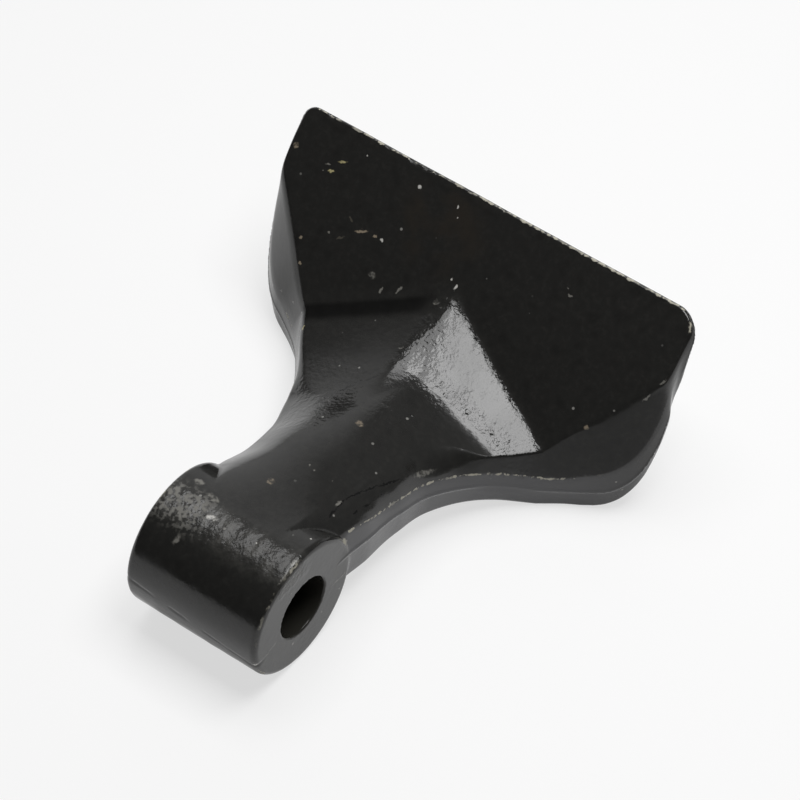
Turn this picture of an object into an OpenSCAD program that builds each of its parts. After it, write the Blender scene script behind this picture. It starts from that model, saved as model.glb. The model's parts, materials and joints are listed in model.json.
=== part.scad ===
// Flail mower hammer: one forged piece that swings on a bolt and cuts with the wide edge of its head.
// The bore runs along X, the cutting edge lies out along +Y, and the piece rests on its boss and heel.

/* [Pivot boss] */
// Diameter of the pivot bolt
bolt_d = 16; // [10:0.5:20]
// Play of the bore over the bolt, on the diameter
bore_play = 0.5; // [0.2:0.1:0.9]
// Outside diameter of the boss
boss_d = 37; // [34:0.5:42]
// Length of the boss along the bore
boss_w = 38.5; // [36:0.5:42]
// Rounding of the boss's end edges
boss_round = 1.5; // [0.5:0.1:3]

/* [Neck] */
// Width of the neck at its waist, over the parting line
waist_w = 39; // [36:0.5:44]
// Radius of the hollow flare from the waist to the head
flare_r = 52; // [44:1:60]
// Fall of the crown line from the top of the boss towards the head, in degrees
crown_fall = 7; // [5.5:0.5:8.5]
// Radius of the crown across the neck, at its waist
crown_r = 22; // [19:1:30]
// Side slope of the crown where it meets the head, as height over width
fold_slope = 0.35; // [0.3:0.01:0.45]
// Height of the arch under the neck
arch_h = 4.2; // [2:0.2:6]
// Width of the bevel strip beside the crown, at the boss
strip_w = 5.5; // [4.5:0.1:7]
// Angle at which the bevel strip narrows away from the boss, in degrees
strip_angle = 9; // [6:0.5:11]

/* [Head] */
// Width of the head over its two shoulders
head_w = 119; // [105:0.5:135]
// Width of the cutting edge over its two corners
edge_w = 117; // [103:0.5:134]
// Distance from the bore axis to the cutting edge, along the piece
edge_reach = 104; // [98:0.5:115]
// Height of the cutting edge above the bore axis
edge_rise = 33.7; // [28:0.1:40]
// Thickness of the cutting edge
edge_t = 2.2; // [1.5:0.1:4]
// Rounding of the cutting edge's two corners
edge_corner = 3.5; // [2:0.5:8]
// Slope of the hollowed face, in degrees
scoop_angle = 45; // [42:0.5:50]
// Slope of the back, in degrees
back_angle = 64; // [60:0.5:68]
// Radius of the rounded shoulders
shoulder_r = 19; // [14:0.5:24]
// Distance from the cutting edge back to where the head has its full width
full_width_set = 11; // [9:0.5:14]

/* [Ridge] */
// Distance from the cutting edge back to the point of the ridge
apex_set = 17.3; // [14:0.1:22]
// Slope of the ridge line, in degrees
ridge_angle = 16; // [12:0.5:20]
// Half the width over the two feet of the ridge's V
v_half = 36; // [31:0.5:40]
// Depth of the V from its point to its feet
v_depth = 15.9; // [13:0.1:19]

/* [Rim] */
// Height of the side wall above the parting line
rim_above = 4.4; // [3:0.1:6]
// Height that the wall gains above the parting line towards the boss
boss_rise = 2.6; // [1:0.1:3.5]
// Height that the wall gains above the parting line round the shoulders
shoulder_rise = 2.1; // [1:0.1:3]
// Height of the side wall below the parting line, at the heel
rim_below = 6.6; // [5.5:0.1:7.5]
// Height that the wall gains below the parting line towards the boss
boss_drop = 4; // [2:0.1:5]
// Height of the parting line above the heel
rim_foot = 4; // [2.5:0.1:5]
// Height of the parting line at the boss, above the bore axis
parting_h = 2.5; // [0:0.1:5]
// Radius on which the parting line sweeps down along the neck
parting_r = 122; // [110:1:140]
// Draft of the side walls, in degrees
draft = 6.5; // [3:0.5:9]

/* [Hidden] */
$fn = 96;

bore_d = bolt_d + bore_play;
boss_r = boss_d / 2;
waist = waist_w / 2;
head = head_w / 2;
edge_half = edge_w / 2;

// The loft starts where the crown line touches the boss, narrower than the boss.
loft_start = boss_r * sin(crown_fall);
start_inset = 2.25;
start_half = boss_w / 2 - start_inset;

// Tangent arcs of the plan outline: a hollow flare, then a rounded shoulder.
shoulder_x = head - shoulder_r;
shoulder_y = edge_reach - full_width_set;
flare_x = waist + flare_r;
arc_sum = flare_r + shoulder_r;
flare_y = shoulder_y - sqrt(arc_sum ^ 2 - (flare_x - shoulder_x) ^ 2);
tangent_y = flare_y + (shoulder_y - flare_y) * flare_r / arc_sum;
corner_y = edge_reach - edge_corner;

// Ridge, the V where it runs out into the hollowed face, and the bevel border beside them.
apex_y = edge_reach - apex_set;
v_end_y = apex_y - v_depth;
apex_z = edge_rise - tan(scoop_angle) * apex_set;
roof_slope = v_depth * (tan(scoop_angle) - tan(ridge_angle)) / v_half;
bevel_least = 0.9;
bevel_drop = 1;
flare_slope = 0.75;
shoulder_slope = (head - v_half) / (shoulder_y - v_end_y);
fold_y = v_end_y - 13;

// Back corner of the cutting edge, square to the hollowed face.
back_y = edge_reach + edge_t * sin(scoop_angle);
back_z = edge_rise - edge_t * cos(scoop_angle);

// The arch under the neck comes down to the heel between these two places.
arch_end_y = flare_y + 16;
heel_y = v_end_y - 3;

// Height of the parting line over the back, and the shares of the thickness it keeps at the edge.
back_lift = rim_below - 1.1;
edge_parting = 0.35;
edge_rim = 0.12;

// Blend lengths between neighbouring surfaces.
heel_blend = 30;
back_blend = 12;
fold_blend = 1.2;
strip_blend = 2;
border_blend = 2;
rim_blend = 2;

function smooth_max(a, b, k) = max(a, b) + max(k - abs(a - b), 0) ^ 2 / (4 * k);
function smooth_min(a, b, k) = min(a, b) - max(k - abs(a - b), 0) ^ 2 / (4 * k);
function ease(a, b, v) =
    let (t = max(0, min(1, (v - a) / (b - a))))
    t * t * (3 - 2 * t);

// Half the width of the plan outline, over the parting line.
function corner_cut(y) =
    y <= corner_y ? 0 : edge_corner - sqrt(max(edge_corner ^ 2 - (y - corner_y) ^ 2, 0));
function arcs(y) =
    y < flare_y ? waist :
    y < tangent_y ? flare_x - sqrt(flare_r ^ 2 - (y - flare_y) ^ 2) :
    y < shoulder_y ? shoulder_x + sqrt(shoulder_r ^ 2 - (shoulder_y - y) ^ 2) :
    head - (head - edge_half) * ((y - shoulder_y) / full_width_set) ^ 2;
function outline(y) =
    start_half + (arcs(y) - start_half) * ease(loft_start, boss_r, y) - corner_cut(y);

// Heights of the lines that run along the piece.
function scoop(y) = edge_rise - tan(scoop_angle) * (edge_reach - y);
function back(y) = back_z - tan(back_angle) * (back_y - y);
function belly(y) = arch_h * (1 - ease(arch_end_y, heel_y, y)) - boss_r;
function bottom(y) = smooth_max(belly(y), back(y), back_blend);
function sweep(y) = parting_h - (y - boss_r / 2) ^ 2 / (2 * parting_r);
function below_scoop(y, share) = scoop(y) - share * (scoop(y) - bottom(y));
function parting(y) =
    let (line = smooth_max(sweep(y), back(y) + back_lift, heel_blend))
    let (foot = max(line, bottom(y) + rim_foot))
    y < v_end_y ? foot : smooth_min(foot, below_scoop(y, edge_parting), rim_blend);
function rim_low(y) =
    max(parting(y) - rim_below - boss_drop * ease(v_end_y - 8, boss_r, y), bottom(y));

// Half the width of the top, inside the bevel.
function border(y) =
    let (strip = waist - strip_w + tan(strip_angle) * (y - boss_r))
    let (flare = v_half - flare_slope * (v_end_y - y))
    let (shoulder = v_half - shoulder_slope * (v_end_y - y))
    let (line = smooth_max(strip, max(flare, shoulder), strip_blend))
    smooth_min(outline(y) - bevel_least, line, border_blend);

// The crown leaves the boss as its tangent plane, turns round, then folds between the ridge's facets.
function neck(x, y) =
    let (rounded = ease(0, flare_y, y), folded = ease(flare_y, fold_y, y))
    let (drop = (1 - folded) * rounded * x ^ 2 / (2 * crown_r) + folded * fold_slope * x)
    boss_r / cos(crown_fall) - tan(crown_fall) * y - drop;
function facet(x, y) = apex_z - tan(ridge_angle) * (apex_y - y) - roof_slope * x;
function roof(x, y) = smooth_max(neck(x, y), facet(x, y), fold_blend);
function top(x, y) = y < v_end_y ? roof(x, y) : max(roof(x, y), scoop(y));

// Top edge of the side wall, below the border of the top.
function wall_rise(y) =
    rim_above + boss_rise * ease(boss_r + 15, boss_r - 1, y)
    + shoulder_rise * ease(v_end_y, v_end_y + 9, y);
function rim_top(y) =
    let (line = min(parting(y) + wall_rise(y), top(border(y), y) - bevel_drop))
    y < v_end_y ? line : smooth_min(parting(y) + wall_rise(y), below_scoop(y, edge_rim), rim_blend);

// Half the width of the ridge at its V, kept clear of the middle and of the border.
v_least = 0.03;
v_most = 0.96;
function v_line(y) =
    let (share = (apex_y - y) * v_half / v_depth / border(y))
    max(v_least, min(v_most, share)) * border(y);

// Half a section, from the crown over the side wall to the middle of the underside.
crown_steps = 8;
scoop_steps = 2;
belly_steps = 5;
function top_points(y) =
    let (v = v_line(y), b = border(y))
    let (ridge_x = [for (i = [0 : crown_steps]) v * i / crown_steps])
    let (scoop_x = [for (i = [1 : scoop_steps]) v + (b - v) * i / scoop_steps])
    [for (x = concat(ridge_x, scoop_x)) [x, y, top(x, y)]];
function side_points(y) = [
    [outline(y) - tan(draft) * (rim_top(y) - parting(y)), y, rim_top(y)],
    [outline(y), y, parting(y)]
];
function low_points(y) =
    let (low_x = outline(y) - tan(draft) * (parting(y) - rim_low(y)))
    [for (i = [0 : belly_steps])
        let (u = 1 - i / belly_steps)
        [low_x * u, y, bottom(y) + (rim_low(y) - bottom(y)) * u ^ 2]];
function half_section(y) = concat(top_points(y), side_points(y), low_points(y));

// The last section is the flat of the cutting edge, square to the hollowed face.
function edge_point(x, share) =
    [x, edge_reach + share * (back_y - edge_reach), edge_rise + share * (back_z - edge_rise)];
function edge_section() =
    let (side = outline(edge_reach))
    let (inner = side - bevel_least / 2)
    concat(
        top_points(edge_reach),
        [edge_point(inner, edge_rim), edge_point(side, 0.5)],
        [for (i = [0 : belly_steps]) edge_point(inner * (1 - i / belly_steps), 1)]
    );
function mirrored(right) =
    concat(right, [for (i = [len(right) - 2 : -1 : 1]) [-right[i].x, right[i].y, right[i].z]]);

// Places of the sections along Y, with one at each change of form.
function steps(a, b, n) = [for (i = [0 : n - 1]) a + (b - a) * i / n];
stations = concat(
    steps(loft_start, flare_y, 7),
    steps(flare_y, fold_y, 10),
    steps(fold_y, v_end_y, 13),
    steps(v_end_y, apex_y, 10),
    steps(apex_y, corner_y, 5),
    steps(corner_y, edge_reach, 5)
);

// Neck and head, lofted through the sections.
module arm() {
    rings = concat([for (y = stations) mirrored(half_section(y))], [mirrored(edge_section())]);
    n = len(rings[0]);
    last = len(rings) - 1;
    start_mid = [0, loft_start, 0];
    edge_mid = edge_point(0, 0.5);
    points = concat([for (ring = rings) each ring], [start_mid, edge_mid]);
    start_hub = len(points) - 2;
    edge_hub = len(points) - 1;
    walls = [for (k = [0 : last - 1], i = [0 : n - 1])
        let (a = k * n + i, b = k * n + (i + 1) % n)
        each [[a, b + n, b], [a, a + n, b + n]]];
    start_cap = [for (i = [0 : n - 1]) [i, (i + 1) % n, start_hub]];
    edge_cap = [for (i = [0 : n - 1]) [last * n + (i + 1) % n, last * n + i, edge_hub]];
    polyhedron(points, concat(walls, start_cap, edge_cap), convexity = 6);
}

// Round bar with rounded end edges, which carries the bore.
module boss() {
    rotate([0, 90, 0])
        translate([0, 0, -boss_w / 2])
            rotate_extrude() {
                square([boss_r - boss_round, boss_w]);
                translate([0, boss_round])
                    square([boss_r, boss_w - 2 * boss_round]);
                for (end = [boss_round, boss_w - boss_round])
                    translate([boss_r - boss_round, end])
                        circle(boss_round);
            }
}

module bore() {
    rotate([0, 90, 0])
        cylinder(d = bore_d, h = 2 * boss_w, center = true);
}

module hammer() {
    color("#1c1c1d")
        difference() {
            union() {
                boss();
                arm();
            }
            bore();
        }
}

hammer();
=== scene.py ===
import json
import math

import bpy
import numpy as np
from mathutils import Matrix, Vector


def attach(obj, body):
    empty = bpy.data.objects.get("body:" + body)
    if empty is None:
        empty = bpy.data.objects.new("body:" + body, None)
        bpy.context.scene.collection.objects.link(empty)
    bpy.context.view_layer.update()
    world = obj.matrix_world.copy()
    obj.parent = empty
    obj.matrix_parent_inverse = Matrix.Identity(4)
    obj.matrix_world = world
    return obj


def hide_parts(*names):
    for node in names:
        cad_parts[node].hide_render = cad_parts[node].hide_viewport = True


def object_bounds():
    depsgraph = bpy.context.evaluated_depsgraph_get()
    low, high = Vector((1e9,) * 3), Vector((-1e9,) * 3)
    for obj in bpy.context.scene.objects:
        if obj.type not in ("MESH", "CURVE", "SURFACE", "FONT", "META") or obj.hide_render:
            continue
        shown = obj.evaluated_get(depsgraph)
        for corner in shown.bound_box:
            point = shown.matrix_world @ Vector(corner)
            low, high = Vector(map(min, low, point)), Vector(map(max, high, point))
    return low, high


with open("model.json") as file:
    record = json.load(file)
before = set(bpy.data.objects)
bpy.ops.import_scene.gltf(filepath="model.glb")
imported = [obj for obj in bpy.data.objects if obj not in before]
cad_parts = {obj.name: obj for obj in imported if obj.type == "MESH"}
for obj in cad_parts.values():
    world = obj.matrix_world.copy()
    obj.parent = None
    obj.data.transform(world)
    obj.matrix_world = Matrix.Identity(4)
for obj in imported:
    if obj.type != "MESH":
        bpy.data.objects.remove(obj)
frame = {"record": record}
cad_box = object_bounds()

MM = 0.001


def tan(degrees):
    return math.tan(math.radians(degrees))


# Pivot boss, from the record's mounts, in millimetres
pivot = next(m for m in frame["record"]["mounts"] if m["name"] == "pivot_bore")
BORE_R = pivot["dims"]["r_mm"]
BOSS_HALF = pivot["dims"]["length_mm"] / 2
BOSS_R = -cad_box[0][1] / MM
BOSS_ROUND = 1.5

# Neck
WAIST = 19.5
FLARE_R = 52
CROWN_FALL = 7
CROWN_R_LEFT = 17
CROWN_R_RIGHT = 30
ARCH_H = 4.2
STRIP_W = 5
STRIP_ANGLE = 9
FOLD_LEFT = 0.62
FOLD_RIGHT = 0.36
LEAN = 0.9

# Head
HEAD = 59.5
EDGE_HALF = 58.5
EDGE_REACH = 104
EDGE_RISE = cad_box[1][2] / MM
EDGE_T = 2.2
EDGE_CORNER = 3.5
WORN_CORNER = 6.5
SCOOP_ANGLE = 45
BACK_ANGLE = 64
SHOULDER_R = 19
FULL_WIDTH_SET = 11

# Ridge and the V where it runs out into the hollowed face
APEX_SET = 17.3
RIDGE_ANGLE = 16
V_HALF = 36
V_DEPTH = 15.9

# Rim
RIM_ABOVE = 4.4
BOSS_RISE = 2.6
SHOULDER_RISE = 2.1
RIM_BELOW = 6.6
BOSS_DROP = 4
RIM_FOOT = 4
PARTING_H = 2.5
PARTING_R = 122
DRAFT = 6.5

# Places that follow from these sizes
LOFT_START = BOSS_R * math.sin(math.radians(CROWN_FALL))
START_INSET = 2.25
START_HALF = BOSS_HALF - START_INSET
SHOULDER_X = HEAD - SHOULDER_R
SHOULDER_Y = EDGE_REACH - FULL_WIDTH_SET
FLARE_X = WAIST + FLARE_R
ARC_SUM = FLARE_R + SHOULDER_R
FLARE_Y = SHOULDER_Y - math.sqrt(ARC_SUM ** 2 - (FLARE_X - SHOULDER_X) ** 2)
TANGENT_Y = FLARE_Y + (SHOULDER_Y - FLARE_Y) * FLARE_R / ARC_SUM
APEX_Y = EDGE_REACH - APEX_SET
V_END_Y = APEX_Y - V_DEPTH
APEX_Z = EDGE_RISE - tan(SCOOP_ANGLE) * APEX_SET
ROOF_SLOPE = V_DEPTH * (tan(SCOOP_ANGLE) - tan(RIDGE_ANGLE)) / V_HALF
BEVEL_LEAST = 0.9
FLARE_SLOPE = 0.75
FOLD_Y = V_END_Y - 13
SHOULDER_SLOPE = (HEAD - V_HALF) / (SHOULDER_Y - V_END_Y)
BACK_Y = EDGE_REACH + EDGE_T * math.sin(math.radians(SCOOP_ANGLE))
BACK_Z = EDGE_RISE - EDGE_T * math.cos(math.radians(SCOOP_ANGLE))
ARCH_END_Y = FLARE_Y + 16
HEEL_Y = V_END_Y - 3
BACK_LIFT = RIM_BELOW - 1.1
EDGE_PARTING = 0.35
EDGE_RIM = 0.12

# Blends between surfaces, and the rounding of the edges
HEEL_BLEND = 30
BACK_BLEND = 12
FOLD_BLEND_LEFT = 8
FOLD_BLEND_RIGHT = 1.7
STRIP_BLEND = 2
BORDER_BLEND = 2
RIM_BLEND = 2
JOIN_BLEND = 0.6
JOIN_LEAST = 0.04
RIDGE_ROUND = 0.6
RIDGE_SPREAD = 4.5
V_BLEND_RIGHT = 0.9
V_BLEND_LEFT = 3.0
TOP_BLEND = 1.6
BROW_BLEND = 4.5
END_BLEND = 0.5
END_REACH = 0.7
RIM_ROUND = 0.5
LOW_ROUND = 1.2
BORE_ROUND = 0.5
FLASH_H = 0.25
FLASH_W = 0.5

# Stretches over which a form fades in or out: across the piece, then along it
MIDDLE = (-4, 4)
RIGHT_SIDE = (-2, 2)
LEFT_V = (6, -6)
WORN_END = (45, 55)
BOSS_RISE_FADE = (BOSS_R + 15, BOSS_R - 1)
SHOULDER_RISE_FADE = (V_END_Y, V_END_Y + 9)
DROP_FADE = (V_END_Y - 8, BOSS_R)
LEAN_START, LEAN_STOP = (16, 26), (100, 80)
FLARE_START, FLARE_STOP = (36, 46), (72, 62)
RIDGE_FADE = (APEX_Y - 2, FOLD_Y + 8)
BROW_START, BROW_STOP = (40, 50), (62, 56)
END_START, END_STOP = (56, 62), (84, 76)
REACH_START, REACH_STOP = (54, 60), (76, 70)
STEEP_BEVEL = (60, 45)
JOIN_FADE = (8, 14)

GRID_STEP = 0.5
GRID_MARGIN = 1.2
MESH_SHARE = 0.5
WELD_GAP = 0.05
SLOPE_STEP = 0.05
LEAST_SLOPE = 0.05
FAR = 9


def smooth_max(a, b, k):
    return np.maximum(a, b) + np.maximum(k - np.abs(a - b), 0) ** 2 / (4 * k)


def smooth_min(a, b, k):
    return -smooth_max(-a, -b, k)


def round_max(a, b, r):
    return np.minimum(np.maximum(a, b), -r) + np.hypot(np.maximum(a + r, 0), np.maximum(b + r, 0))


def ease(a, b, v):
    t = np.clip((v - a) / (b - a), 0, 1)
    return t * t * (3 - 2 * t)


def slope(line, y):
    return (line(y + SLOPE_STEP) - line(y - SLOPE_STEP)) / (2 * SLOPE_STEP)


# Half the width of the plan outline, over the parting line
def outline(y):
    y = np.clip(y, LOFT_START, EDGE_REACH)
    flare = FLARE_X - np.sqrt(np.maximum(FLARE_R ** 2 - (y - FLARE_Y) ** 2, 0))
    shoulder = SHOULDER_X + np.sqrt(np.maximum(SHOULDER_R ** 2 - (SHOULDER_Y - y) ** 2, 0))
    taper = HEAD - (HEAD - EDGE_HALF) * ((y - SHOULDER_Y) / FULL_WIDTH_SET) ** 2
    parts = [WAIST + 0 * y, flare, shoulder]
    arcs = np.select([y < FLARE_Y, y < TANGENT_Y, y < SHOULDER_Y], parts, taper)
    return START_HALF + (arcs - START_HALF) * ease(LOFT_START, BOSS_R, y)


# Heights of the lines that run along the piece
def scoop(y):
    return EDGE_RISE - tan(SCOOP_ANGLE) * (EDGE_REACH - y)


def back(y):
    return BACK_Z - tan(BACK_ANGLE) * (BACK_Y - y)


def bottom(y):
    belly = ARCH_H * (1 - ease(ARCH_END_Y, HEEL_Y, y)) - BOSS_R
    return smooth_max(belly, back(y), BACK_BLEND)


def below_scoop(y, share):
    return scoop(y) - share * (scoop(y) - bottom(y))


def parting(y):
    sweep = PARTING_H - (y - BOSS_R / 2) ** 2 / (2 * PARTING_R)
    line = smooth_max(sweep, back(y) + BACK_LIFT, HEEL_BLEND)
    foot = np.maximum(line, bottom(y) + RIM_FOOT)
    return np.where(y < V_END_Y, foot, smooth_min(foot, below_scoop(y, EDGE_PARTING), RIM_BLEND))


def rim_top(y):
    rise = BOSS_RISE * ease(*BOSS_RISE_FADE, y) + SHOULDER_RISE * ease(*SHOULDER_RISE_FADE, y)
    top = parting(y) + RIM_ABOVE + rise
    return np.where(y < V_END_Y, top, smooth_min(top, below_scoop(y, EDGE_RIM), RIM_BLEND))


def rim_low(y):
    return np.maximum(parting(y) - RIM_BELOW - BOSS_DROP * ease(*DROP_FADE, y), bottom(y))


# The side walls sit a little to the right between the neck and the shoulders
def lean(y):
    flare = ease(*FLARE_START, y) * ease(*FLARE_STOP, y)
    return LEAN * (1 - flare) * ease(*LEAN_START, y) * ease(*LEAN_STOP, y)


# Half the width of the top, inside the bevel
def border(y):
    strip = WAIST - STRIP_W + tan(STRIP_ANGLE) * (y - BOSS_R)
    flare = V_HALF - FLARE_SLOPE * (V_END_Y - y)
    shoulder = V_HALF - SHOULDER_SLOPE * (V_END_Y - y)
    line = smooth_max(strip, np.maximum(flare, shoulder), STRIP_BLEND)
    return smooth_min(outline(y) - BEVEL_LEAST, line, BORDER_BLEND)


# Distance from the ridge line, whose edge grows rounder towards the neck
def from_ridge(x, y):
    spread = RIDGE_SPREAD * ease(*RIDGE_FADE, y)
    return np.hypot(x, RIDGE_ROUND + spread) - spread / 2


# The neck's crown turns from the boss's flat into a round, then into the ridge's two facets
def neck(x, y):
    rounded = ease(0, FLARE_Y, y)
    folded = ease(FLARE_Y, FOLD_Y, y)
    right = ease(*MIDDLE, x)
    radius = CROWN_R_LEFT + (CROWN_R_RIGHT - CROWN_R_LEFT) * right
    fold = FOLD_LEFT + (FOLD_RIGHT - FOLD_LEFT) * right
    drop = (1 - folded) * rounded * x * x / (2 * radius) + folded * fold * from_ridge(x, y)
    return BOSS_R / math.cos(math.radians(CROWN_FALL)) - tan(CROWN_FALL) * y - drop


def facet(x, y):
    return APEX_Z - tan(RIDGE_ANGLE) * (APEX_Y - y) - ROOF_SLOPE * from_ridge(x, y)


def roof(x, y):
    blend = FOLD_BLEND_LEFT + (FOLD_BLEND_RIGHT - FOLD_BLEND_LEFT) * ease(*MIDDLE, x)
    return smooth_max(neck(x, y), facet(x, y), blend)


# Signed distances, below zero inside the metal
def top_field(x, y, z):
    steep = math.cos(math.radians(SCOOP_ANGLE))
    gentle = 1 / math.sqrt(1 + ROOF_SLOPE ** 2 + tan(RIDGE_ANGLE) ** 2)
    blend = V_BLEND_RIGHT + (V_BLEND_LEFT - V_BLEND_RIGHT) * ease(*LEFT_V, x)
    return smooth_min((z - roof(x, y)) * gentle, (z - scoop(y)) * steep, blend)


def bevel_field(x, side, y, z):
    inner = border(y) + END_REACH * ease(*REACH_START, y) * ease(*REACH_STOP, y) * ease(*RIGHT_SIDE, x)
    inner_z = np.maximum(roof(np.where(x < 0, -inner, inner), y), scoop(y))
    outer = outline(y) - FLASH_H - tan(DRAFT) * (rim_top(y) - parting(y))
    run = outer - inner
    drop = inner_z - np.minimum(rim_top(y), inner_z - run * ease(*STEEP_BEVEL, y))
    return ((side - inner) * drop + (z - inner_z) * run) / np.hypot(run, drop)


def side_field(side, y, z):
    from_parting = z - parting(y)
    flash = FLASH_H * np.exp(-(from_parting / FLASH_W) ** 2)
    wall = side - outline(y) + FLASH_H - flash + tan(DRAFT) * np.abs(from_parting)
    return wall / np.sqrt(1 + slope(outline, y) ** 2)


def low_field(side, y, z):
    low = rim_low(y)
    low_half = outline(y) - tan(DRAFT) * (parting(y) - low)
    under = bottom(y) + (low - bottom(y)) * np.minimum(side / low_half, 1) ** 2
    return (under - z) / np.sqrt(1 + slope(bottom, y) ** 2)


def arm_field(x, y, z):
    side = np.abs(x - lean(y))
    diagonal = math.sqrt(0.5)
    edge = (y - EDGE_REACH) * diagonal + (z - EDGE_RISE) * diagonal
    brow = (BROW_BLEND - TOP_BLEND) * ease(*BROW_START, y) * ease(*BROW_STOP, y)
    end = (END_BLEND - TOP_BLEND) * ease(*END_START, y) * ease(*END_STOP, y)
    blend = TOP_BLEND + (brow + end) * ease(*RIGHT_SIDE, x)
    top = smooth_max(top_field(x, y, z), bevel_field(x, side, y, z), blend)
    corner = EDGE_CORNER + (WORN_CORNER - EDGE_CORNER) * ease(*WORN_END, x)
    wall = round_max(side_field(side, y, z), edge, corner)
    shell = round_max(top, wall, RIM_ROUND)
    return np.maximum(round_max(shell, low_field(side, y, z), LOW_ROUND), LOFT_START - y)


def hammer_field(x, y, z):
    radius = np.hypot(y, z)
    boss = round_max(radius - BOSS_R, np.abs(x) - BOSS_HALF, BOSS_ROUND)
    blend = JOIN_LEAST + JOIN_BLEND * ease(*JOIN_FADE, y)
    whole = smooth_min(boss, arm_field(x, y, z), blend)
    return round_max(whole, BORE_R - radius, BORE_ROUND)


# Seeded gradient noise, about -1 to 1, with grains of the given size in millimetres
NOISE_TABLE = 256
NOISE_SHIFT = 17.3
NOISE_GAIN = 1.6
grains = np.random.default_rng(7)
SHUFFLE = grains.permutation(NOISE_TABLE)
PULLS = grains.normal(size=(NOISE_TABLE, 3))
PULLS /= np.linalg.norm(PULLS, axis=1)[:, None]


def noise(points, size, seed):
    wrap = NOISE_TABLE - 1
    place = points / size + NOISE_SHIFT * seed
    cell = np.floor(place).astype(int)
    part = place - cell
    fade = part ** 3 * (part * (part * 6 - 15) + 10)
    total = np.zeros(len(points))
    for corner in np.ndindex(2, 2, 2):
        a, b, c = ((cell + corner) & wrap).T
        pull = PULLS[SHUFFLE[(SHUFFLE[(SHUFFLE[a] + b) & wrap] + c) & wrap]]
        weight = np.prod(np.where(corner, fade, 1 - fade), axis=1)
        total += weight * np.sum(pull * (part - corner), axis=1)
    return NOISE_GAIN * total


# Shares of the surface that carry each kind of relief, and the stretches over which they fade
UPPER_FADE = (0, 2)
BRIGHT_DEPTH, BRIGHT_LEFT = (-0.8, 1), (-6, -2)
FOLD_EDGE, V_EDGE, RIDGE_EDGE = (3, 0.5), (1.6, 0.2), (7, 2)
CREST_FRONT, CREST_BACK, CREST_RISE = (-12, -8), (4, 0), (11, 13)


def upper_share(points):
    x, y, z = points.T
    return ease(*UPPER_FADE, z - rim_top(y))


def bright_share(points):
    x, y, z = points.T
    over = np.minimum(facet(x, y) - neck(x, y), facet(x, y) - scoop(y))
    return ease(*BRIGHT_DEPTH, over) * ease(*BRIGHT_LEFT, x) * upper_share(points)


# Share near the fold, the V and the ridge round the bright facet
def facet_edge(points):
    x, y, z = points.T
    at_fold = ease(*FOLD_EDGE, facet(x, y) - neck(x, y))
    at_v = ease(*V_EDGE, facet(x, y) - scoop(y))
    return np.maximum.reduce([at_fold, at_v, ease(*RIDGE_EDGE, x)])


# Boxes in plan: low corner, high corner and how softly they end
BESIDE_RIDGE = ((2, 48), (14, 64), 4)
SADDLE = ((-18, 32), (-2, 62), 5)
TORN_RIM = ((13, 18), (21, 36), 2)
PEELED_RIGHT = ((0, 46), (16, 66), 4)
PEELED_LEFT = ((-26, 32), (-3, 62), 4)


def box_share(points, low, high, soft):
    share = upper_share(points)
    for axis in range(2):
        share = share * ease(low[axis] - soft, low[axis] + soft, points[:, axis])
        share = share * ease(high[axis] + soft, high[axis] - soft, points[:, axis])
    return share


def crest_share(points):
    x, y, z = points.T
    return ease(*CREST_FRONT, y) * ease(*CREST_BACK, y) * ease(*CREST_RISE, z)


# Noise drawn out along a heading in plan, for flow lines
def streaks(points, heading, width, length, seed):
    x, y, z = points.T
    sine, cosine = math.sin(math.radians(heading)), math.cos(math.radians(heading))
    across = cosine * x - sine * y
    along = sine * x + cosine * y
    return noise(np.stack([across / width, along / length, z / length], axis=1), 1, seed)


# Heights of the relief, sizes of its grains and, for flow lines, their heading, width and length
FORGED_LEAST, FORGED_MORE, FORGED_GRAIN, FORGED_FADE = 0.03, 0.09, 14, (8, 24)
FINE_H, FINE_GRAIN = 0.010, 1.7
FACET_H, FACET_GRAIN = 0.075, 3.4
PIT_H, PIT_GRAIN, PIT_CUT, PIT_LEAST = 0.06, 1.9, (0.45, 0.75), 0.32
SADDLE_H, SADDLE_FLOW = 0.04, (20, 2.2, 7)
TORN_H, TORN_FLOW = 0.10, (8, 1.1, 6)
BEVEL_H, BEVEL_GRAIN, BEVEL_X, BEVEL_Y = 0.05, 6, (28, 34), (84, 78)
CREST_H, CREST_FLOW = 0.08, (0, 2.2, 7)
LIP_H, LIP_GRAIN, LIP_CUT, LIP_REACH = 0.30, 2.6, (0.1, 0.5), (1.3, 0.2)
SEAM_DROP, SEAM_LEAN, SEAM_FRONT = 1.1, 0.14, (-14, -17)
SEAM_H, SEAM_W, SEAM_GRAIN, SEAM_CUT = 0.16, 0.5, 5, (-0.4, 0.2)
CHIN_H, CHIN_GRAIN, CHIN_FADE = 0.08, 4, (1, -2)


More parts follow.
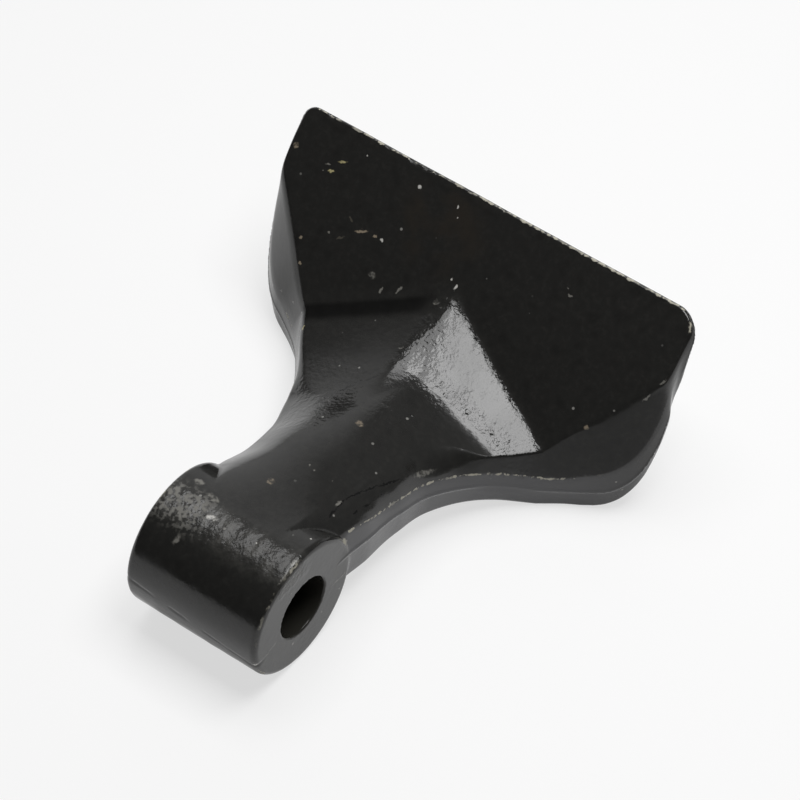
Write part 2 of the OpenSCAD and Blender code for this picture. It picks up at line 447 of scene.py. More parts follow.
# Relief of the forging, in millimetres outwards. The last number of each noise is its seed.
def relief(points):
    x, y, z = points.T
    forged = FORGED_LEAST + FORGED_MORE * ease(*FORGED_FADE, y)
    height = forged * noise(points, FORGED_GRAIN, 1) + FINE_H * noise(points, FINE_GRAIN, 2)
    bright = bright_share(points)
    height += FACET_H * bright * noise(points, FACET_GRAIN, 3)
    pitted = bright * (PIT_LEAST + (1 - PIT_LEAST) * facet_edge(points))
    pitted = np.maximum(pitted, box_share(points, *BESIDE_RIDGE))
    height -= PIT_H * pitted * ease(*PIT_CUT, noise(points, PIT_GRAIN, 5))
    height += SADDLE_H * box_share(points, *SADDLE) * streaks(points, *SADDLE_FLOW, 6)
    height += TORN_H * box_share(points, *TORN_RIM) * streaks(points, *TORN_FLOW, 7)
    height += BEVEL_H * ease(*BEVEL_X, x) * ease(*BEVEL_Y, y) * noise(points, BEVEL_GRAIN, 8)
    height += CREST_H * crest_share(points) * streaks(points, *CREST_FLOW, 12)
    height -= LIP_H * ease(*LIP_REACH, lip_gap(points)) * ease(*LIP_CUT, noise(points, LIP_GRAIN, 9))
    return height + seam_relief(points)


# Parting seam along the front of the boss, with rougher metal below it
def seam_relief(points):
    x, y, z = points.T
    from_seam = z + SEAM_DROP + SEAM_LEAN * x
    front = ease(*SEAM_FRONT, y)
    groove = np.exp(-(from_seam / SEAM_W) ** 2) * ease(*SEAM_CUT, noise(points, SEAM_GRAIN, 10))
    chin = ease(*CHIN_FADE, from_seam) * noise(points, CHIN_GRAIN, 11)
    return front * (CHIN_H * chin - SEAM_H * groove)


# Share of the surface with a coarse skin of paint
PEEL_BRIGHT, PEEL_RIGHT, PEEL_LEFT, PEEL_CREST = 0.45, 0.6, 0.5, 0.6


def peel_share(points):
    bright = bright_share(points) * (PEEL_BRIGHT + (1 - PEEL_BRIGHT) * facet_edge(points))
    right = PEEL_RIGHT * box_share(points, *PEELED_RIGHT)
    left = PEEL_LEFT * box_share(points, *PEELED_LEFT)
    return np.maximum.reduce([bright, right, left, PEEL_CREST * crest_share(points)])


# Share of the drafted side wall on the right, where a lighter grey is painted in for the light that
# this wall catches
WALL_DEPTH, WALL_TOP, WALL_FOOT = (-2.2, -1.4), (-0.2, 0.3), (-1, 0.5)
WALL_START, WALL_STOP = (BOSS_R - 2, BOSS_R), (86, 68)


def lit_wall_share(points):
    x, y, z = points.T
    outside = ease(*WALL_DEPTH, np.abs(x - lean(y)) - outline(y))
    band = ease(*WALL_TOP, rim_top(y) - z) * ease(*WALL_FOOT, z - rim_low(y))
    return outside * band * ease(*WALL_START, y) * ease(*WALL_STOP, y) * ease(*RIGHT_SIDE, x)


# Painted shade on the left facet, along the fold below the hollow
SHADE, SHADE_TOP, SHADE_FOOT = 0.7, (-0.9, 0.2), (3.8, 1.8)
SHADE_X, SHADE_BORDER = (-3, -9), (0.4, -0.4)


def shade_share(points):
    x, y, z = points.T
    over = facet(x, y) - scoop(y)
    inside = ease(*SHADE_BORDER, np.abs(x - lean(y)) - border(y))
    return SHADE * ease(*SHADE_TOP, over) * ease(*SHADE_FOOT, over) * ease(*SHADE_X, x) * inside


# Share with less gloss: the bevels, the right of the boss's crest and the fold with painted shade
DULL_BORDER, DULL_RIM = (-0.6, 0.6), (-0.3, 0.3)
DULL_RIGHT_START, DULL_RIGHT_STOP = (48, 58), (SHOULDER_Y + 1, SHOULDER_Y - 3)
DULL_LEFT, DULL_LEFT_START, DULL_LEFT_STOP = 0.7, (40, 52), (84, 74)
DULL_CREST, DULL_CREST_X = 0.5, (-6, 2)
DULL_SHADE = 1.2


def dull_share(points):
    x, y, z = points.T
    outside = ease(*DULL_BORDER, np.abs(x - lean(y)) - border(y))
    right = ease(*DULL_RIGHT_START, y) * ease(*DULL_RIGHT_STOP, y) * ease(*DULL_RIM, z - rim_top(y))
    left = DULL_LEFT * ease(*DULL_LEFT_STOP, y) * ease(*DULL_LEFT_START, y)
    bevel = outside * np.where(x > 0, right, left)
    crest = DULL_CREST * crest_share(points) * ease(*DULL_CREST_X, x)
    return np.maximum.reduce([bevel, crest, DULL_SHADE * shade_share(points)])


def field_at(points):
    return hammer_field(points[:, 0], points[:, 1], points[:, 2])


def gradient_at(field, points, step=SLOPE_STEP):
    parts = []
    for axis in range(3):
        shift = np.zeros(3)
        shift[axis] = step
        parts.append((field(points + shift) - field(points - shift)) / (2 * step))
    return np.stack(parts, axis=1)


def unit(vectors):
    return vectors / np.linalg.norm(vectors, axis=1)[:, None]


# The surface is a net of quads through the grid cells that it crosses, with one point in each
CORNERS = list(np.ndindex(2, 2, 2))


# Mean of the places where a cell's edges cross the surface, in cells
def crossing_points(values, cells):
    total = np.zeros((len(cells), 3))
    crossings = np.zeros(len(cells))
    for axis in range(3):
        for a in CORNERS:
            if a[axis]:
                continue
            b = tuple(1 if i == axis else v for i, v in enumerate(a))
            start = values[tuple((cells + a).T)]
            end = values[tuple((cells + b).T)]
            crossed = (start < 0) != (end < 0)
            part = np.where(crossed, start / np.where(crossed, start - end, 1), 0)
            place = np.array(a) + part[:, None] * (np.array(b) - np.array(a))
            total += place * crossed[:, None]
            crossings += crossed
    return cells + total / crossings[:, None]


# One quad round each grid edge that the surface crosses
def crossing_quads(inside, number):
    shape = np.array(number.shape)
    quads = []
    for axis in range(3):
        u, v = (axis + 1) % 3, (axis + 2) % 3
        first = np.take(inside, range(0, shape[axis]), axis)
        second = np.take(inside, range(1, shape[axis] + 1), axis)
        for at, flip in ((first & ~second, False), (~first & second, True)):
            edges = np.argwhere(at)
            inner = np.all((edges[:, [u, v]] > 0) & (edges[:, [u, v]] < shape[[u, v]]), axis=1)
            edges = edges[inner]
            ring = []
            for du, dv in ((1, 1), (0, 1), (0, 0), (1, 0)):
                cell = edges.copy()
                cell[:, u] -= du
                cell[:, v] -= dv
                ring.append(number[tuple(cell.T)])
            quad = np.stack(ring, axis=1)
            quads.append(quad[:, ::-1] if flip else quad)
    return np.concatenate(quads)


def surface_net(values, low, step):
    inside = values < 0
    shape = np.array(values.shape) - 1
    window = [inside[i:i + shape[0], j:j + shape[1], k:k + shape[2]] for i, j, k in CORNERS]
    count = sum(w.astype(np.int8) for w in window)
    cells = np.argwhere((count > 0) & (count < len(CORNERS)))
    number = np.full(shape, -1, dtype=np.int64)
    number[tuple(cells.T)] = np.arange(len(cells))
    return low + step * crossing_points(values, cells), crossing_quads(inside, number)


# Points moved onto the surface along the field's slope
def settled(points, rounds=3):
    for _ in range(rounds):
        slope_here = gradient_at(field_at, points)
        size = np.maximum(np.sum(slope_here ** 2, axis=1), LEAST_SLOPE)
        points = points - (field_at(points) / size)[:, None] * slope_here
    return points


def grid_lines():
    low = np.array(cad_box[0]) / MM - GRID_MARGIN
    high = np.array(cad_box[1]) / MM + GRID_MARGIN
    return low, [np.arange(a, b, GRID_STEP) for a, b in zip(low, high)]


def fine_mesh():
    low, (xs, ys, zs) = grid_lines()
    values = hammer_field(xs[:, None, None], ys[None, :, None], zs[None, None, :])
    points, quads = surface_net(values, low, GRID_STEP)
    points = settled(points)
    points += relief(points)[:, None] * unit(gradient_at(field_at, points))
    return points, quads


def as_object(name, points, faces):
    mesh = bpy.data.meshes.new(name)
    mesh.from_pydata((points * MM).tolist(), [], faces.tolist())
    piece = bpy.data.objects.new(name, mesh)
    bpy.context.scene.collection.objects.link(piece)
    return piece


def thinned(piece, share):
    thin = piece.modifiers.new("thin", "DECIMATE")
    thin.ratio = share
    weld = piece.modifiers.new("weld", "WELD")
    weld.merge_threshold = WELD_GAP * MM
    graph = bpy.context.evaluated_depsgraph_get()
    mesh = bpy.data.meshes.new_from_object(piece.evaluated_get(graph))
    piece.modifiers.clear()
    old = piece.data
    piece.data = mesh
    bpy.data.meshes.remove(old)
    mesh.name = piece.name


def points_of(mesh):
    flat = np.empty(3 * len(mesh.vertices))
    mesh.vertices.foreach_get("co", flat)
    return flat.reshape(-1, 3) / MM


def set_normals(mesh, normals):
    mesh.shade_smooth()
    mesh.normals_split_custom_set_from_vertices(normals.tolist())


# Distances to the edges where the paint wears, in millimetres
def rim_gap(points):
    x, y, z = points.T
    outer = outline(y) - FLASH_H - tan(DRAFT) * (rim_top(y) - parting(y))
    gap = np.hypot(np.abs(x - lean(y)) - outer, z - rim_top(y))
    return np.where((y > BOSS_R) & (y < SHOULDER_Y), gap, FAR)


def lip_gap(points):
    x, y, z = points.T
    return np.hypot(y - EDGE_REACH, z - EDGE_RISE)


def ring_gap(points):
    x, y, z = points.T
    return np.hypot(np.hypot(y, z) - BOSS_R, np.abs(x) - BOSS_HALF)


BORE_FADE = (0.6, 0.2)


def bore_share(points):
    x, y, z = points.T
    return ease(*BORE_FADE, np.hypot(y, z) - BORE_R)


def keep_value(mesh, name, values):
    layer = mesh.attributes.new(name, "FLOAT", "POINT")
    layer.data.foreach_set("value", np.minimum(values, FAR).astype(np.float32))


def build_hammer():
    points, quads = fine_mesh()
    piece = as_object("forged_hammer", points, quads)
    thinned(piece, MESH_SHARE)
    points = np.clip(points_of(piece.data), np.array(cad_box[0]) / MM, np.array(cad_box[1]) / MM)
    piece.data.vertices.foreach_set("co", (points * MM).ravel())
    set_normals(piece.data, unit(gradient_at(field_at, points) - gradient_at(relief, points)))
    keep_value(piece.data, "peel", peel_share(points))
    # The right wall's share, where lighter grey is painted in as light
    keep_value(piece.data, "wall", lit_wall_share(points))
    keep_value(piece.data, "dull", dull_share(points))
    # Painted shade along the left fold
    keep_value(piece.data, "shade", shade_share(points))
    keep_value(piece.data, "rim_gap", rim_gap(points))
    keep_value(piece.data, "bore", bore_share(points))
    keep_value(piece.data, "lip_gap", lip_gap(points))
    keep_value(piece.data, "ring_gap", ring_gap(points))
    return piece


# Shader nodes: a value that is a socket is linked, any other is set
def node(tree, kind, inputs, **settings):
    made = tree.nodes.new(kind)
    for name, value in settings.items():
        setattr(made, name, value)
    for name, value in inputs.items():
        if isinstance(value, bpy.types.NodeSocket):
            tree.links.new(value, made.inputs[name])
        else:
            made.inputs[name].default_value = value
    return made


def maths(tree, operation, a, b):
    return node(tree, "ShaderNodeMath", {0: a, 1: b}, operation=operation).outputs[0]


def vector_maths(tree, operation, a, b, output=0):
    return node(tree, "ShaderNodeVectorMath", {0: a, 1: b}, operation=operation).outputs[output]


def ramp(tree, value, start, end, low=0, high=1):
    inputs = {"Value": value, "From Min": start, "From Max": end, "To Min": low, "To Max": high}
    made = node(tree, "ShaderNodeMapRange", inputs, interpolation_type="SMOOTHSTEP")
    return made.outputs["Result"]


def grain(tree, place, size, detail=3):
    inputs = {"Vector": place, "Scale": 1 / (size * MM), "Detail": detail}
    return node(tree, "ShaderNodeTexNoise", inputs)


def blended(tree, share, a, b):
    made = node(tree, "ShaderNodeMix", {0: share}, data_type="RGBA")
    for socket, colour in ((made.inputs[6], a), (made.inputs[7], b)):
        if isinstance(colour, bpy.types.NodeSocket):
            tree.links.new(colour, socket)
        else:
            socket.default_value = (*colour, 1)
    return made.outputs[2]


def kept(tree, name):
    return node(tree, "ShaderNodeAttribute", {}, attribute_name=name).outputs["Fac"]


def gap_of(tree, name, ragged):
    return maths(tree, "ADD", kept(tree, name), ragged)


# Enamel and what shows on it
BLACK = (0.0175, 0.0173, 0.0163)
WORN_BLACK = (0.0225, 0.022, 0.0205)
BROWN = (0.0235, 0.0205, 0.0170)
# The grey below is painted light: the right wall drawn lighter for the light it catches
LIT_WALL_GREY = (0.060, 0.060, 0.063)
GRIME = (0.060, 0.055, 0.045)
# This dust colour also paints the highlight along the boss's crest
DUST_AND_SHEEN = (0.16, 0.155, 0.14)
TAN = (0.23, 0.19, 0.14)
# This chalk colour also paints highlight dabs on the boss's crest
CHALK_AND_GLINT = (0.50, 0.49, 0.46)
YELLOW = (0.36, 0.32, 0.17)
STEEL = (0.42, 0.40, 0.33)
DEEP_BLACK = (0.004, 0.004, 0.004)
SOOT = (0.027, 0.026, 0.022)

# Marks on the paint: place in millimetres, heading, radius, stretch along the heading and colour
MARKS = [
    ((-1.4, 15.0, 16.7), (1, 0, 0), 1.1, 1, TAN),
    ((2.8, 43.9, 12.6), (1, 0, 0), 1.2, 1, TAN),
    ((44.6, 78.5, 7.6), (1, 0, 0), 0.8, 1, TAN),
    ((-44.5, 82.5, 12.2), (1, 0, 0), 0.6, 1, TAN),
    ((-41.8, 78.4, 8.1), (1, 0, 0), 0.5, 1, TAN),
    ((-56.3, 96.3, 26.0), (1, 0, 0), 0.9, 1, TAN),
    # The two marks below sit on the boss's crest: partly real scuffs, partly painted highlight
    ((-4.9, -2.6, 18.3), (1, 0.3, 0), 0.8, 2.2, CHALK_AND_GLINT),
    ((-9.3, -10.7, 15.1), (0.2, 1, 0.6), 0.9, 1.8, DUST_AND_SHEEN),
    ((-13.9, 4.1, 18.0), (1, 0, 0), 1.2, 1.4, DUST_AND_SHEEN),
    ((-8.3, 2.2, 18.4), (1, -0.4, 0), 1.1, 2.2, DUST_AND_SHEEN),
    ((18.3, -1.6, 18.4), (0.2, 1, 0), 0.6, 2.5, DUST_AND_SHEEN),
    ((18.4, -6.0, 17.2), (0, 1, 0.3), 0.35, 9, DUST_AND_SHEEN),
    ((-21.3, 100.4, 30.1), (1, 0, 0), 0.7, 1, CHALK_AND_GLINT),
    ((-37.6, 100.7, 30.4), (1, 0, 0), 0.3, 1, CHALK_AND_GLINT),
    ((-9.9, 100.5, 30.2), (0, 1, 1), 0.3, 2, CHALK_AND_GLINT),
    ((-8.7, 98.9, 28.6), (1, 0, 0), 0.3, 1, CHALK_AND_GLINT),
    ((-42.8, 97.7, 27.4), (1, 0.3, 0.3), 0.35, 4, YELLOW),
    ((-44.7, 95.3, 25.0), (1, 0.3, 0.3), 0.40, 3, YELLOW),
    ((-46.3, 96.1, 25.8), (1, 0.3, 0.3), 0.35, 2.5, DUST_AND_SHEEN),
    ((-46.8, 94.8, 24.5), (1, 0, 0), 0.35, 1, DUST_AND_SHEEN),
    ((-30.4, 88.6, 18.3), (1, 0.35, 0.35), 0.50, 4.5, TAN),
    ((-26.5, 89.1, 18.8), (1, 0, 0), 0.40, 2, TAN),
    ((-24.4, 89.1, 18.8), (1, -0.3, -0.3), 0.50, 1.5, CHALK_AND_GLINT),
    ((-38.2, 85.7, 15.4), (1, 0, 0), 0.40, 1, DUST_AND_SHEEN),
    ((-34.8, 85.8, 15.5), (1, 0.6, 0.6), 0.35, 4, GRIME),
    ((-34.3, 89.6, 19.3), (1, -0.5, -0.5), 0.35, 3, GRIME),
    ((-22.8, 82.8, 12.5), (1, 0, 0), 1.0, 1.3, DUST_AND_SHEEN),
    ((-18.9, 81.3, 11.0), (0, 1, 1), 0.35, 4, DUST_AND_SHEEN),
    ((-14.6, 82.9, 12.6), (0.5, 1, 1), 0.35, 5, DUST_AND_SHEEN),
    ((-3.2, 89.1, 18.8), (-0.3, 1, 1), 0.30, 2, CHALK_AND_GLINT),
    ((-1.3, 88.2, 17.9), (0, 1, 1), 0.40, 3, CHALK_AND_GLINT),
    ((-3.8, 83.8, 14.4), (1, 0, 0), 0.9, 1, DUST_AND_SHEEN),
    ((2.4, 25.0, 15.4), (1, 0, 0), 0.30, 1, DUST_AND_SHEEN),
    ((4.0, 24.5, 15.3), (1, 0, 0), 0.30, 1, DUST_AND_SHEEN),
    ((9.0, 24.9, 13.8), (1, 0, 0), 0.30, 1, DUST_AND_SHEEN),
    ((16.6, 6.9, 17.2), (1, 0, 0), 0.35, 1, CHALK_AND_GLINT),
    # Light dab on the boss's crest: partly real scuff, partly painted highlight
    ((7.9, -2.2, 18.4), (1, 0, 0), 0.35, 1, CHALK_AND_GLINT),
    ((-32.1, 67.2, 0.7), (0, 1, 0), 0.4, 3, YELLOW),
    ((-3.8, 69.5, 10.3), (1, 0.4, 0), 0.25, 10, DUST_AND_SHEEN),
    ((20.0, 45.8, 4.3), (0.37, 0.95, -0.34), 0.9, 5.5, DUST_AND_SHEEN),
    ((13.2, 21.0, 12.4), (0.2, 1, 0), 0.5, 4, DUST_AND_SHEEN),
    ((26.3, 96.5, 26.2), (1, 0, 0), 0.4, 2, DUST_AND_SHEEN),
    ((25.0, 97.4, 27.1), (1, 0, 0), 0.3, 1, DUST_AND_SHEEN),
    ((54.7, 88.2, 16.5), (0.4, 0.6, 0.7), 0.35, 5, DUST_AND_SHEEN),
    ((57.1, 91.4, 20.8), (0.4, 0.6, 0.7), 0.35, 4, DUST_AND_SHEEN),
    ((57.2, 101.8, 31.5), (0.4, -0.8, -0.8), 0.45, 4, STEEL),
    ((16.4, 23.3, 9.9), (0, 1, -0.3), 0.35, 5, DEEP_BLACK),
    ((16.7, 27.1, 8.8), (0.1, 1, -0.3), 0.35, 5, DEEP_BLACK),
    ((17.0, 32.4, 7.5), (0.2, 1, -0.3), 0.35, 4, DEEP_BLACK),
    ((-9.0, 51.0, 9.0), (1, 0.3, 0), 0.25, 7, DEEP_BLACK),
    ((-7.0, 51.5, 9.5), (1, 0.4, 0), 0.25, 6, DEEP_BLACK),
    ((-8.5, 48.5, 9.5), (1, 0.5, 0), 0.25, 6, DEEP_BLACK),
    ((-12.5, 52.0, 7.5), (1, -0.3, 0), 0.25, 6, DEEP_BLACK),
    ((19.2, 12.4, 4.7), (0, 1, 0.45), 0.22, 20, DEEP_BLACK),
    ((19.2, -11.9, 0.0), (0, 1, 0.16), 0.22, 16, DEEP_BLACK),
    ((19.2, 13.5, -3.6), (0, 1, -0.06), 0.22, 20, DUST_AND_SHEEN),
    ((19.2, 13.0, -1.0), (0, 1, 0.1), 0.20, 20, GRIME),
    ((19.2, -13.3, -2.8), (0, 1, 0.2), 0.22, 17, DUST_AND_SHEEN),
    ((19.3, 17.4, 5.5), (0, 0.1, 1), 0.25, 14, DUST_AND_SHEEN),
    ((18.9, -17.6, -3.4), (1, 0, 0), 0.6, 2, CHALK_AND_GLINT),
]


# Cracks that follow the surface, in steps from one place to the next
CRACKS = [
    [(14.3, 15.2, 13.8), (13.9, 19.5, 12.9), (13.5, 23.8, 11.9),
     (14.7, 28.6, 10.6), (16.0, 33.4, 9.0), (17.4, 38.3, 7.1)],
    [(14.4, 10.0, 15.5), (16.5, 13.2, 13.6), (18.3, 15.5, 10.5)],
    [(-10.0, 51.5, 8.5), (-6.5, 56.0, 9.5), (-3.5, 60.5, 10.3)],
]
CRACK_R = 0.3
CRACK_OVERLAP = 1.6


def cracks():
    for line in CRACKS:
        for a, b in zip(line, line[1:]):
            start, end = np.array(a), np.array(b)
            half = np.linalg.norm(end - start) / 2
            stretch = CRACK_OVERLAP * half / CRACK_R
            yield tuple((start + end) / 2), tuple(end - start), CRACK_R, stretch, DEEP_BLACK


# Distance to a mark, shortened along its heading
def mark_gap(tree, place, at, heading, stretch):
    away = vector_maths(tree, "SUBTRACT", place, at)
    if stretch > 1:
        along = vector_maths(tree, "PROJECT", away, heading)
        excess = vector_maths(tree, "MULTIPLY", along, (1 - 1 / stretch,) * 3)
        away = vector_maths(tree, "SUBTRACT", away, excess)
    return node(tree, "ShaderNodeVectorMath", {0: away}, operation="LENGTH").outputs["Value"]


# Torn outlines of the marks, in millimetres. Marks of the broad radius or more are grainy too.
TORN_GRAIN, TORN_SHIFT = 0.8, 1.2
BROAD_MARK, MARK_CORE = 0.8, 0.5
MARK_GRAIN = (0.35, 0.6, 0.1, 1)


def marked(tree, place, fine, colour):
    torn = grain(tree, place, TORN_GRAIN).outputs["Color"]
    shift = vector_maths(tree, "SUBTRACT", torn, (0.5,) * 3)
    shift = vector_maths(tree, "MULTIPLY", shift, (TORN_SHIFT * MM,) * 3)
    ragged = vector_maths(tree, "ADD", place, shift)
    marks = MARKS + list(cracks())
    places = settled(np.array([mark[0] for mark in marks])) * MM
    for at, (_, heading, radius, stretch, tone) in zip(places, marks):
        gap = mark_gap(tree, ragged, tuple(at), heading, stretch)
        spot = ramp(tree, gap, radius * MM, MARK_CORE * radius * MM)
        if radius >= BROAD_MARK:
            spot = maths(tree, "MULTIPLY", spot, ramp(tree, fine, *MARK_GRAIN))
        colour = blended(tree, spot, colour, tone)
    return colour


# Worn lines along the rim, the cutting edge and the boss's ends: their widths in millimetres,
# the values of the broad noise between which they break off, and where the rim's line stops
RAGGED_SHARE = 0.5
RIM_WORN, RIM_BREAKS, RIM_STOP = (0.35, 0.20), (0.38, 0.50), (78 * MM, 70 * MM)
LIP_WORN, LIP_BREAKS = (0.42, 0.24), (0.32, 0.46)
RING_WORN, RING_BREAKS = (0.75, 0.50), (0.50, 0.62)


def bare_share(tree, place, broad, ragged):
    along = node(tree, "ShaderNodeSeparateXYZ", {0: place}).outputs["Y"]
    ragged = maths(tree, "MULTIPLY", ragged, RAGGED_SHARE)
    rim = ramp(tree, gap_of(tree, "rim_gap", ragged), *RIM_WORN)
    rim = maths(tree, "MULTIPLY", rim, ramp(tree, broad, *RIM_BREAKS))
    rim = maths(tree, "MULTIPLY", rim, ramp(tree, along, *RIM_STOP))
    lip = ramp(tree, gap_of(tree, "lip_gap", ragged), *LIP_WORN)
    lip = maths(tree, "MULTIPLY", lip, ramp(tree, broad, *LIP_BREAKS))
    ring = ramp(tree, gap_of(tree, "ring_gap", ragged), *RING_WORN)
    ring = maths(tree, "MULTIPLY", ring, ramp(tree, broad, *RING_BREAKS))
    return maths(tree, "MAXIMUM", maths(tree, "MAXIMUM", rim, lip), ring)


# Rubbed band along the top of the boss, partly real scuffs and partly a painted highlight where the
# crest catches the lamp, dustier at its left end
SCUFF_SHEEN_FRONT, SCUFF_SHEEN_BACK = (-11 * MM, -5 * MM), (4 * MM, -2 * MM)
SCUFF_SHEEN_RISE = (11 * MM, 14 * MM)
SCUFF_SHEEN_GRAIN, SCUFF_SHEEN_CLOUDS, SCUFF_SHEEN_FINE = 4, (0.35, 0.70, 0.08, 0.35), (0.3, 0.7, 0.5, 1)
DUSTY_END, DUSTY_FINE = (-3 * MM, -10 * MM, 0, 0.8), (0.45, 0.6)


def scuff_and_highlight_share(tree, place, fine):
    axes = node(tree, "ShaderNodeSeparateXYZ", {0: place}).outputs
    front, back = ramp(tree, axes["Y"], *SCUFF_SHEEN_FRONT), ramp(tree, axes["Y"], *SCUFF_SHEEN_BACK)
    crest = maths(tree, "MULTIPLY", front, back)
    crest = maths(tree, "MULTIPLY", crest, ramp(tree, axes["Z"], *SCUFF_SHEEN_RISE))
    clouds = ramp(tree, grain(tree, place, SCUFF_SHEEN_GRAIN).outputs["Fac"], *SCUFF_SHEEN_CLOUDS)
    clouds = maths(tree, "MULTIPLY", clouds, ramp(tree, fine, *SCUFF_SHEEN_FINE))
    dusty = ramp(tree, axes["X"], *DUSTY_END)
    dusty = maths(tree, "MULTIPLY", dusty, ramp(tree, fine, *DUSTY_FINE))
    return maths(tree, "MULTIPLY", crest, maths(tree, "ADD", clouds, dusty))


# Grains of white dust, one in some of the cells
GRIT_CELL, GRIT_DOT, GRIT_CHOSEN = 5, (0.09, 0.05), (0.45, 0.80, 0, 0.4)


def grit_share(tree, place):
    cells = node(tree, "ShaderNodeTexVoronoi", {"Vector": place, "Scale": 1 / (GRIT_CELL * MM)})
    dot = ramp(tree, cells.outputs["Distance"], *GRIT_DOT)
    chosen = node(tree, "ShaderNodeSeparateColor", {0: cells.outputs["Color"]}).outputs[0]
    return maths(tree, "MULTIPLY", dot, ramp(tree, chosen, *GRIT_CHOSEN))


# Paint before any wear: black with a finer and a darker mottle, a brown patch in the hollow, a lighter
# grey painted on the right wall for the light it catches, and painted shade along the left fold
WORN_GRAIN = (0.40, 0.75)
MOTTLE_GRAIN, MOTTLE = 2.6, (0.48, 0.68, 0, 0.22)
BROWN_AT, BROWN_R, BROWN_CORE, BROWN_CLOUDS = (-12, 96, 26), 16, 0.4, (0.35, 0.65)


def paint(tree, place, broad, fine):
    colour = blended(tree, ramp(tree, fine, *WORN_GRAIN), BLACK, WORN_BLACK)
    mottle = ramp(tree, grain(tree, place, MOTTLE_GRAIN).outputs["Fac"], *MOTTLE)
    colour = blended(tree, mottle, colour, DEEP_BLACK)
    gap = vector_maths(tree, "DISTANCE", place, tuple(MM * v for v in BROWN_AT), "Value")
    brown = ramp(tree, gap, BROWN_R * MM, BROWN_CORE * BROWN_R * MM)
    brown = maths(tree, "MULTIPLY", brown, ramp(tree, broad, *BROWN_CLOUDS))
    colour = blended(tree, brown, colour, BROWN)
    colour = blended(tree, kept(tree, "wall"), colour, LIT_WALL_GREY)
    colour = blended(tree, kept(tree, "bore"), colour, SOOT)
    return blended(tree, kept(tree, "shade"), colour, DEEP_BLACK)


# Sizes of the paint's noises and of its skin in millimetres, and the ranges that they drive
BROAD_GRAIN, FLECK_GRAIN, SKIN_GRAIN, SKIN_H = 9, 1.3, 1.2, 0.2
RAGGED = (0.1, 0.9, -0.8, 0.8)
ROUGH, WORN_ROUGH = (0.3, 0.7, 0.13, 0.20), 0.5
GLOSS, BORE_GLOSS = (0, 1, 0.5, 0.2), (0, 1, 1, 0.4)
SKIN = (0, 1, 0.12, 1)


def paint_skin(tree, place):
    skin = ramp(tree, kept(tree, "peel"), *SKIN)
    skin = maths(tree, "MULTIPLY", skin, grain(tree, place, SKIN_GRAIN, 2).outputs["Fac"])
    inputs = {"Height": skin, "Strength": 1, "Distance": SKIN_H * MM}
    return node(tree, "ShaderNodeBump", inputs).outputs["Normal"]


def enamel():
    material = bpy.data.materials.new("black_enamel")
    material.use_nodes = True
    tree = material.node_tree
    place = node(tree, "ShaderNodeTexCoord", {}).outputs["Object"]
    broad = grain(tree, place, BROAD_GRAIN).outputs["Fac"]
    fine = grain(tree, place, FLECK_GRAIN).outputs["Fac"]

    colour = paint(tree, place, broad, fine)
    # Scuffs and a painted highlight along the boss's crest
    scuffed_and_lit = scuff_and_highlight_share(tree, place, fine)
    colour = blended(tree, scuffed_and_lit, colour, DUST_AND_SHEEN)
    colour = blended(tree, grit_share(tree, place), colour, CHALK_AND_GLINT)
    colour = marked(tree, place, fine, colour)
    bare = bare_share(tree, place, broad, ramp(tree, fine, *RAGGED))
    colour = blended(tree, bare, colour, STEEL)

    worn = maths(tree, "MULTIPLY", maths(tree, "MAXIMUM", bare, scuffed_and_lit), WORN_ROUGH)
    rough = maths(tree, "ADD", ramp(tree, broad, *ROUGH), worn)
    gloss = ramp(tree, kept(tree, "dull"), *GLOSS)
    gloss = maths(tree, "MULTIPLY", gloss, ramp(tree, kept(tree, "bore"), *BORE_GLOSS))
    shader = tree.nodes["Principled BSDF"]
    tree.links.new(colour, shader.inputs["Base Color"])
    tree.links.new(rough, shader.inputs["Roughness"])
    tree.links.new(gloss, shader.inputs["Specular IOR Level"])
    tree.links.new(paint_skin(tree, place), shader.inputs["Normal"])
    return material


# Stage: floor, lamps and camera, in metres
FLOOR_HALF = 1.5
FLOOR_GLOW = 0.66
FLOOR_GLOW_MIRRORED = 0.43
FLOOR_COLOUR = (0.92, 0.92, 0.92, 1)
FLOOR_ROUGH = 0.9
FLOOR_GLOSS = 0.1
WHITE = (1, 1, 1, 1)
SOFTBOX_AT = (0.17, 0.16, 0.65)
SOFTBOX_SIZE = (0.22, 0.42)
SOFTBOX_POWER = 2.65
FILL_AT = (-0.12, 0.16, 0.65)
FILL_SIZE = (0.36, 0.42)
FILL_POWER = 1.95
WINDOW_TOWARD = (-0.608, 0.710, 0.355)
WINDOW_SPREAD = (0.8, 1.0)
WINDOW_LIGHT = 0.56
WALL_SPREAD = (-0.3, 0.6)
WALL_LIGHT = 0.12
DARK = 0.02
CAMERA_AT = (0.3653, -0.4276, 0.7545)
CAMERA_LOOK = (-0.3759, 0.5055, -0.7767)
CAMERA_LENS = 180
SENSOR = 36


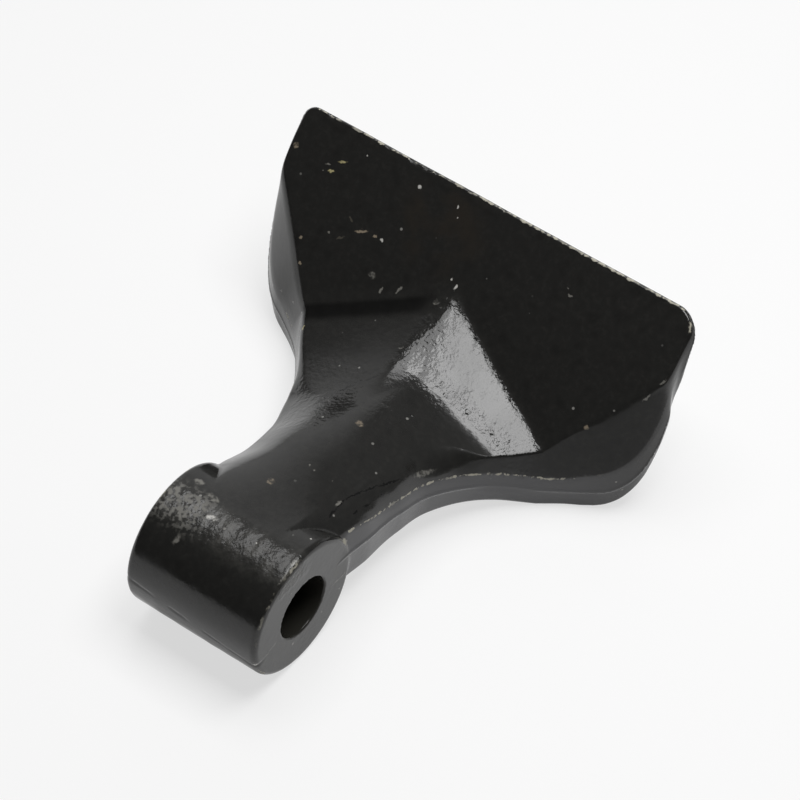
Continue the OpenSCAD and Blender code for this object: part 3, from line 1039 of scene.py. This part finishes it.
def floor_paint():
    material = bpy.data.materials.new("floor_white")
    material.use_nodes = True
    tree = material.node_tree
    shader = tree.nodes["Principled BSDF"]
    shader.inputs["Base Color"].default_value = FLOOR_COLOUR
    shader.inputs["Roughness"].default_value = FLOOR_ROUGH
    shader.inputs["Specular IOR Level"].default_value = FLOOR_GLOSS
    glow = node(tree, "ShaderNodeEmission", {"Color": WHITE, "Strength": 1}).outputs[0]
    path = node(tree, "ShaderNodeLightPath", {}).outputs
    mirrored = maths(tree, "MAXIMUM", path["Is Glossy Ray"], path["Is Transmission Ray"])
    mirrored = maths(tree, "MULTIPLY", mirrored, FLOOR_GLOW_MIRRORED)
    seen = maths(tree, "MULTIPLY", path["Is Camera Ray"], FLOOR_GLOW)
    share = maths(tree, "MAXIMUM", seen, mirrored)
    mix = node(tree, "ShaderNodeMixShader", {0: share, 1: shader.outputs[0], 2: glow}).outputs[0]
    tree.links.new(mix, tree.nodes["Material Output"].inputs["Surface"])
    return material


def build_floor():
    z = cad_box[0][2] / MM
    half = FLOOR_HALF / MM
    points = np.array([(-half, -half, z), (half, -half, z), (half, half, z), (-half, half, z)])
    floor = as_object("floor", points, np.array([(0, 1, 2, 3)]))
    floor.data.materials.append(floor_paint())


def build_softbox(name, at, size, power):
    lamp = bpy.data.lights.new(name, "AREA")
    lamp.shape = "RECTANGLE"
    lamp.size, lamp.size_y = size
    lamp.energy = power
    holder = bpy.data.objects.new(name, lamp)
    holder.location = at
    bpy.context.scene.collection.objects.link(holder)


# Dim in front, brighter behind, brightest towards a window at the back left
def build_world():
    world = bpy.data.worlds.new("studio")
    world.use_nodes = True
    tree = world.node_tree
    heading = node(tree, "ShaderNodeTexCoord", {}).outputs["Generated"]
    toward = vector_maths(tree, "DOT_PRODUCT", heading, WINDOW_TOWARD, "Value")
    window = ramp(tree, toward, *WINDOW_SPREAD, 0, WINDOW_LIGHT)
    behind = node(tree, "ShaderNodeSeparateXYZ", {0: heading}).outputs["Y"]
    wall = ramp(tree, behind, *WALL_SPREAD, DARK, DARK + WALL_LIGHT)
    tree.links.new(maths(tree, "ADD", window, wall), tree.nodes["Background"].inputs["Strength"])
    tree.nodes["Background"].inputs["Color"].default_value = WHITE
    bpy.context.scene.world = world


def build_camera():
    lens = bpy.data.cameras.new("camera")
    lens.lens = CAMERA_LENS
    lens.sensor_width = SENSOR
    camera = bpy.data.objects.new("camera", lens)
    camera.location = CAMERA_AT
    camera.rotation_euler = Vector(CAMERA_LOOK).to_track_quat("-Z", "Y").to_euler()
    bpy.context.scene.collection.objects.link(camera)
    bpy.context.scene.camera = camera


bpy.context.scene.view_settings.view_transform = "Standard"
build_camera()
build_world()
build_floor()
build_softbox("softbox", SOFTBOX_AT, SOFTBOX_SIZE, SOFTBOX_POWER)
build_softbox("fill", FILL_AT, FILL_SIZE, FILL_POWER)

hammer = build_hammer()
hammer.data.materials.append(enamel())
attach(hammer, "root")
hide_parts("hammer")
